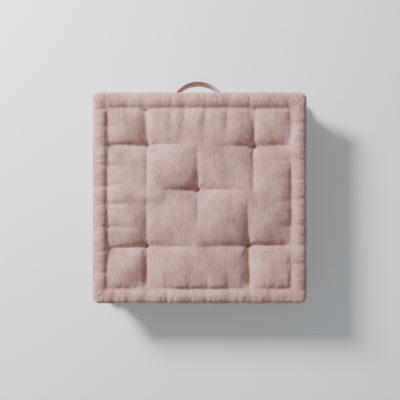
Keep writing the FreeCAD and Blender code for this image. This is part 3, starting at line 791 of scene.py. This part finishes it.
def woven_material(name, dark, light, thread=520.0, relief=0.4, sheen=0.6):
    """Washed plain weave: uneven threads both ways, soft mottling and a little nap."""
    material = bpy.data.materials.new(name)
    material.use_nodes = True
    add = node_maker(material)
    shader = material.node_tree.nodes["Principled BSDF"]
    place = add("ShaderNodeTexCoord").outputs["Object"]

    def streaks(scale, size, detail):
        moved = add("ShaderNodeMapping", {"Vector": place, "Scale": scale}).outputs["Vector"]
        settings = {"Vector": moved, "Scale": size, "Detail": detail, "Roughness": 0.6}
        return add("ShaderNodeTexNoise", settings).outputs["Fac"]

    def combine(kind, a, b):
        node = add("ShaderNodeMath", operation=kind)
        for socket, value in zip(node.inputs, (a, b)):
            if isinstance(value, bpy.types.NodeSocket):
                material.node_tree.links.new(value, socket)
            else:
                socket.default_value = value
        return node.outputs[0]

    warp = streaks((1.0, 0.16, 0.16), thread, 2.0)
    weft = streaks((0.2, 1.0, 1.0), thread * 1.15, 2.0)
    speckle = streaks((1.0, 1.0, 1.0), thread * 1.2, 2.0)
    mottle = streaks((1.0, 0.6, 1.0), 30.0, 5.0)
    threads = combine("ADD", combine("MULTIPLY", warp, 0.4), combine("MULTIPLY", weft, 0.22))
    cloth = combine("ADD", threads, combine("MULTIPLY", speckle, 0.38))
    tone = combine("ADD", combine("MULTIPLY", cloth, 0.62), combine("MULTIPLY", mottle, 0.38))
    spread = add("ShaderNodeMapRange", {"Value": tone, "From Min": 0.395, "From Max": 0.605})
    colour = add("ShaderNodeMix", data_type="RGBA")
    material.node_tree.links.new(spread.outputs["Result"], colour.inputs[0])
    colour.inputs[6].default_value = (*dark, 1)
    colour.inputs[7].default_value = (*light, 1)
    bump = add("ShaderNodeBump", {"Height": cloth, "Strength": relief, "Distance": 0.0008})
    links = material.node_tree.links
    links.new(colour.outputs[2], shader.inputs["Base Color"])
    links.new(bump.outputs["Normal"], shader.inputs["Normal"])
    shader.inputs["Roughness"].default_value = 0.85
    shader.inputs["Specular IOR Level"].default_value = 0.25
    shader.inputs["Sheen Weight"].default_value = sheen
    shader.inputs["Sheen Roughness"].default_value = 0.45
    shader.inputs["Sheen Tint"].default_value = (1.0, 0.93, 0.88, 1)
    return material


cloth_material = woven_material("cover_cloth", (0.31, 0.147, 0.128), (0.6, 0.346, 0.311))
strap_material = woven_material("strap_cloth", (0.33, 0.165, 0.14), (0.54, 0.33, 0.30))
filling_material = woven_material("filling", (0.68, 0.63, 0.55), (0.85, 0.81, 0.74), thread=250.0)
twine_material = woven_material("twine", (0.3, 0.16, 0.14), (0.48, 0.3, 0.27), thread=900.0)

# ---------------------------------------------------------------- pieces


def piece(name, points, faces, material, slot, *nodes):
    """A finished piece that rides on the cushion and stands for the CAD nodes named."""
    obj = make_object(name, points, faces)
    obj.data.materials.append(material)
    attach(obj, "cushion")
    if nodes:
        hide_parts(*nodes)
    return obj


def rim_edges(faces):
    """The directed edges that only one face has."""
    edges = np.vstack([np.stack([faces[:, k], faces[:, (k + 1) % 4]], axis=1) for k in range(4)])
    _, place, count = np.unique(np.sort(edges, axis=1), axis=0, return_index=True, return_counts=True)
    return edges[place[count == 1]]


def cover_pieces():
    """Each piece of the cover as cloth with a real thickness: an outer face, an inner face and a rim."""
    for number, name in enumerate(ZONES):
        used, compact = np.unique(quads[piece_of == number], return_inverse=True)
        outer = compact.reshape(-1, 4)
        inner = outer[:, ::-1] + len(used)
        rim = rim_edges(outer)
        sides = np.stack([rim[:, 1], rim[:, 0], rim[:, 0] + len(used), rim[:, 1] + len(used)], axis=1)
        skin = np.vstack([fine[used], fine[used] - CLOTH * normals[used]])
        faces = np.vstack([outer, inner, sides])
        cloth = piece(f"{name}_cloth", skin, faces, cloth_material, "cover_cloth", name)


def batting_piece(name, panel, flat_z, sign):
    """A batting layer under one panel: the panel's own shape a little way in, and a flat far side."""
    inner = panel[BATTING_ROWS_IN:-BATTING_ROWS_IN, BATTING_ROWS_IN:-BATTING_ROWS_IN]
    rows, columns = inner.shape
    near = points[inner.ravel()]
    near[:, 2] = sign * np.maximum(sign * near[:, 2] - BATTING_BELOW, sign * flat_z + BATTING_LEAST)
    far = near.copy()
    far[:, 2] = flat_z
    index = np.arange(rows * columns).reshape(rows, columns)
    shift = rows * columns
    faces = []
    for row in range(rows - 1):
        for column in range(columns - 1):
            quad = (
                index[row, column],
                index[row, column + 1],
                index[row + 1, column + 1],
                index[row + 1, column],
            )
            faces.append(quad[::sign])
            faces.append(tuple(k + shift for k in quad)[::-sign])
    rim = list(index[0, :-1]) + list(index[:-1, -1]) + list(index[-1, :0:-1]) + list(index[:0:-1, 0])
    for a, b in zip(rim, rim[1:] + rim[:1]):
        faces.append((a, a + shift, b + shift, b)[::sign])
    return piece(f"{name}_pad", np.vstack([near, far]), faces, filling_material, "filling", name)


def rope_piece(name, side, level_z):
    """The rope of filling in one side's rolled edge, mitred at both ends."""
    around = 20
    half = HALF_X if side % 2 == 0 else HALF_Y
    other = HALF_Y if side % 2 == 0 else HALF_X
    angle = side * math.pi / 2
    turns = np.linspace(0, 2 * math.pi, around, endpoint=False)
    made = []
    for end in (-1, 1):
        for turn in turns:
            inset = ROLL + ROPE_RADIUS * math.cos(turn)
            u, v = end * (half - inset - ROPE_MITRE_GAP), -(other - inset)
            made.append(
                (
                    u * math.cos(angle) - v * math.sin(angle),
                    u * math.sin(angle) + v * math.cos(angle),
                    level_z + ROPE_RADIUS * math.sin(turn),
                )
            )
    faces = [(k, (k + 1) % around, around + (k + 1) % around, around + k) for k in range(around)]
    faces += [tuple(range(around))[::-1], tuple(range(around, 2 * around))]
    return piece(f"{name}_rope", made, faces, filling_material, "filling", name)


def tube(points_along, radius, around=8):
    """A closed-ended tube through points, as (points, faces)."""
    line = np.asarray(points_along, float)
    heading = np.gradient(line, axis=0)
    heading /= np.linalg.norm(heading, axis=1, keepdims=True)
    made, faces = [], []
    normal = np.array([0.0, 0.0, 1.0])
    for number, (point, ahead) in enumerate(zip(line, heading)):
        normal = normal - ahead * (normal @ ahead)
        if np.linalg.norm(normal) < 1e-3:
            normal = np.cross(ahead, (1.0, 0.3, 0.2))
        normal /= np.linalg.norm(normal)
        beside = np.cross(ahead, normal)
        for step in range(around):
            turn = 2 * math.pi * step / around
            made.append(point + radius * (math.cos(turn) * normal + math.sin(turn) * beside))
        if number:
            low = (number - 1) * around
            for step in range(around):
                nxt = (step + 1) % around
                faces.append((low + step, low + nxt, low + around + nxt, low + around + step))
    faces.append(tuple(range(around))[::-1])
    faces.append(tuple(range(len(made) - around, len(made))))
    return made, faces


def ring_line(ring, place, lift, length, steps=5):
    """Points on the settled cover along one ring, either side of a place on it, lifted off the cloth."""
    count = ring_index.shape[1]
    line = []
    for step in np.linspace(-length / 2, length / 2, steps) / SIDE_CELL:
        at = place + step
        low = int(math.floor(at))
        share = at - low
        a = points[ring_index[ring][low % count]]
        b = points[ring_index[ring][(low + 1) % count]]
        line.append(a * (1 - share) + b * share + lift)
    return line


def roll_twine_piece(name, upper):
    """The stitching of one rolled edge: a short stitch in the groove at each draw, the rest on the wall."""
    groove, wall = (0, ROLL_CELLS) if upper else (LAST_RING, LAST_RING - ROLL_CELLS)
    out = 1.0 if upper else -1.0
    sink = np.array([0, 0, -TWINE_SINK * out])
    dip = np.array([0, 0, TWINE_DIP * out])
    made, faces = [], []
    for place in stitch_columns():
        side = place // SIDE_CELLS
        outward = np.array(((0, -1, 0), (1, 0, 0), (0, 1, 0), (-1, 0, 0))[side], float)
        over = ring_line(groove, place, sink, STITCH_LENGTH)
        through = ring_line(wall, place, outward * STITCH_WALL_OUT, STITCH_LENGTH)
        turn_in, wall_in = outward * STITCH_TURN_IN, outward * STITCH_WALL_IN
        line = [over[0] - turn_in - dip] + over + [over[-1] + turn_in - dip]
        line += [through[-1] - wall_in] + through[::-1] + [through[0] - wall_in]
        tube_points, tube_faces = tube(line, TWINE_RADIUS)
        faces += [tuple(k + len(made) for k in face) for face in tube_faces]
        made += tube_points
    return piece(f"{name}_stitches", made, faces, twine_material, "twine", name)


# ---------------------------------------------------------------- handle


def strap_line():
    """The strap's middle line seen from above, as points and headings, from its left end."""
    x = y = heading = 0.0
    line = []
    for length, turn in STRAP_BENDS:
        count = max(2, round(length / STRAP_STEP))
        for _ in range(count):
            line.append((x, y, heading))
            heading += math.radians(turn) / count / 2
            x += length / count * math.cos(heading)
            y += length / count * math.sin(heading)
            heading += math.radians(turn) / count / 2
    line.append((x, y, heading))
    line = np.array(line)
    line[:, 0] += STRAP_X - line[-1, 0] / 2
    line[:, 1] += HALF_Y - WALL_INSET + STRAP_CLOTH / 2
    return line


def strap_piece():
    """One folded strip of cloth, a little puffed between its edge seams, leaning out at the top."""
    line = strap_line()
    rise = (line[:, 1] - line[0, 1]) / (line[:, 1].max() - line[0, 1])
    half = STRAP_WIDTH / 2
    section = []
    for height in np.linspace(-1, 1, 15):
        edge = (1 - abs(height) ** 6) ** 0.5
        seam = STRAP_SEAM_DEPTH * math.exp(-(((abs(height) - STRAP_SEAM_AT) / STRAP_SEAM_WIDTH) ** 2))
        section.append((height * half, (STRAP_CLOTH / 2) * max(edge, 0.12) - seam))
    outline = section + [(height, -out) for height, out in section[::-1]]
    around = len(outline)
    made, faces = [], []
    for number, ((x, y, heading), up) in enumerate(zip(line, rise)):
        ruck = 0.35 * noise(np.array([number / 3.1]), np.array([2.5]), 41.0)[0]
        for height, out in outline:
            puff = out * (1 + 0.12 * ruck)
            lean = STRAP_LEAN * height * up + 0.25 * ruck * (height / half)
            off = puff + lean
            made.append((x - off * math.sin(heading), y + off * math.cos(heading), HEIGHT / 2 + height))
        if number:
            low = (number - 1) * around
            for step in range(around):
                nxt = (step + 1) % around
                faces.append((low + step, low + around + step, low + around + nxt, low + nxt))
    faces.append(tuple(range(around)))
    faces.append(tuple(range(len(made) - around, len(made)))[::-1])
    obj = make_object("handle_strap_cloth", made, faces)
    obj.data.materials.append(strap_material)
    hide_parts("handle_strap", "handle_end_left", "handle_end_right")
    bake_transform(obj)


def end_stitches(name, sign):
    """Machine stitching on one strap end: a box with a cross in it, as separate short stitches."""
    line = strap_line()
    middle_x = STRAP_X + sign * (abs(line[0, 0] - STRAP_X) - SEWN_END / 2)
    face_y = line[0, 1] + STRAP_CLOTH / 2 + 0.1
    corners = [
        np.array([middle_x + across * STITCH_BOX[0], face_y, HEIGHT / 2 + up * STITCH_BOX[1]])
        for across, up in QUAD_CORNERS
    ]
    runs = [(corners[k], corners[(k + 1) % 4]) for k in range(4)]
    runs += [(corners[0], corners[2]), (corners[1], corners[3])]
    made, faces = [], []
    for start, end in runs:
        count = max(1, round(np.linalg.norm(end - start) / THREAD_STEP))
        for number in range(count):
            a = start + (end - start) * ((number + 0.12) / count)
            b = start + (end - start) * ((number + 0.88) / count)
            sunk = np.array([0, -THREAD_SUNK, 0])
            stitch = [a + sunk, a * 0.8 + b * 0.2, a * 0.2 + b * 0.8, b + sunk]
            tube_points, tube_faces = tube(stitch, THREAD_RADIUS, 6)
            faces += [tuple(k + len(made) for k in face) for face in tube_faces]
            made += tube_points
    return piece(f"{name}_threads", made, faces, twine_material, "thread", name)


cover_pieces()
batting_piece("upper_batting", panels["top"], BATTING_TOP, 1)
batting_piece("lower_batting", panels["bottom"], BATTING_BOTTOM, -1)
for side, side_name in enumerate(SIDES):
    rope_piece(f"upper_roll_filling_{side_name}", side, ROLL_Z)
    rope_piece(f"lower_roll_filling_{side_name}", side, HEIGHT - ROLL_Z)
roll_twine_piece("upper_roll_twine", True)
roll_twine_piece("lower_roll_twine", False)
strap_piece()
end_stitches("handle_stitching_left", -1)
end_stitches("handle_stitching_right", 1)
for node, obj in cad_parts.items():
    if node == "middle_batting" or node.startswith("tuft_tie"):
        obj.data.materials.clear()
        obj.data.materials.append(filling_material if node == "middle_batting" else twine_material)

# ---------------------------------------------------------------- stage, light and camera


def area_light(name, place, size, power):
    """A round soft light, turned to the cushion."""
    data = bpy.data.lights.new(name, "AREA")
    data.shape = "DISK"
    data.size = size
    data.energy = power
    obj = bpy.data.objects.new(name, data)
    bpy.context.scene.collection.objects.link(obj)
    obj.location = place
    direction = Vector(LIGHT_TARGET) - Vector(place)
    obj.rotation_euler = direction.to_track_quat("-Z", "Y").to_euler()


floor_corners = [(x * FLOOR_HALF / MM, y * FLOOR_HALF / MM, 0) for x, y in QUAD_CORNERS]
floor = make_object("floor", floor_corners, [(0, 1, 2, 3)], smooth=False)
floor_material = bpy.data.materials.new("floor")
floor_material.use_nodes = True
floor_shader = floor_material.node_tree.nodes["Principled BSDF"]
floor_shader.inputs["Base Color"].default_value = FLOOR_COLOUR
floor_shader.inputs["Roughness"].default_value = FLOOR_ROUGHNESS
floor.data.materials.append(floor_material)

area_light("key", *KEY_LIGHT)
area_light("fill", *FILL_LIGHT)
world = bpy.data.worlds.new("studio")
world.use_nodes = True
sky = world.node_tree.nodes["Background"]
sky.inputs["Color"].default_value = SKY_COLOUR
sky.inputs["Strength"].default_value = SKY_STRENGTH
bpy.context.scene.world = world

camera_data = bpy.data.cameras.new("camera")
camera = bpy.data.objects.new("camera", camera_data)
bpy.context.scene.collection.objects.link(camera)
camera.location = CAMERA_PLACE
camera.rotation_euler = (0, 0, 0)
camera_data.lens = CAMERA_LENS
camera_data.sensor_width = CAMERA_SENSOR
bpy.context.scene.camera = camera
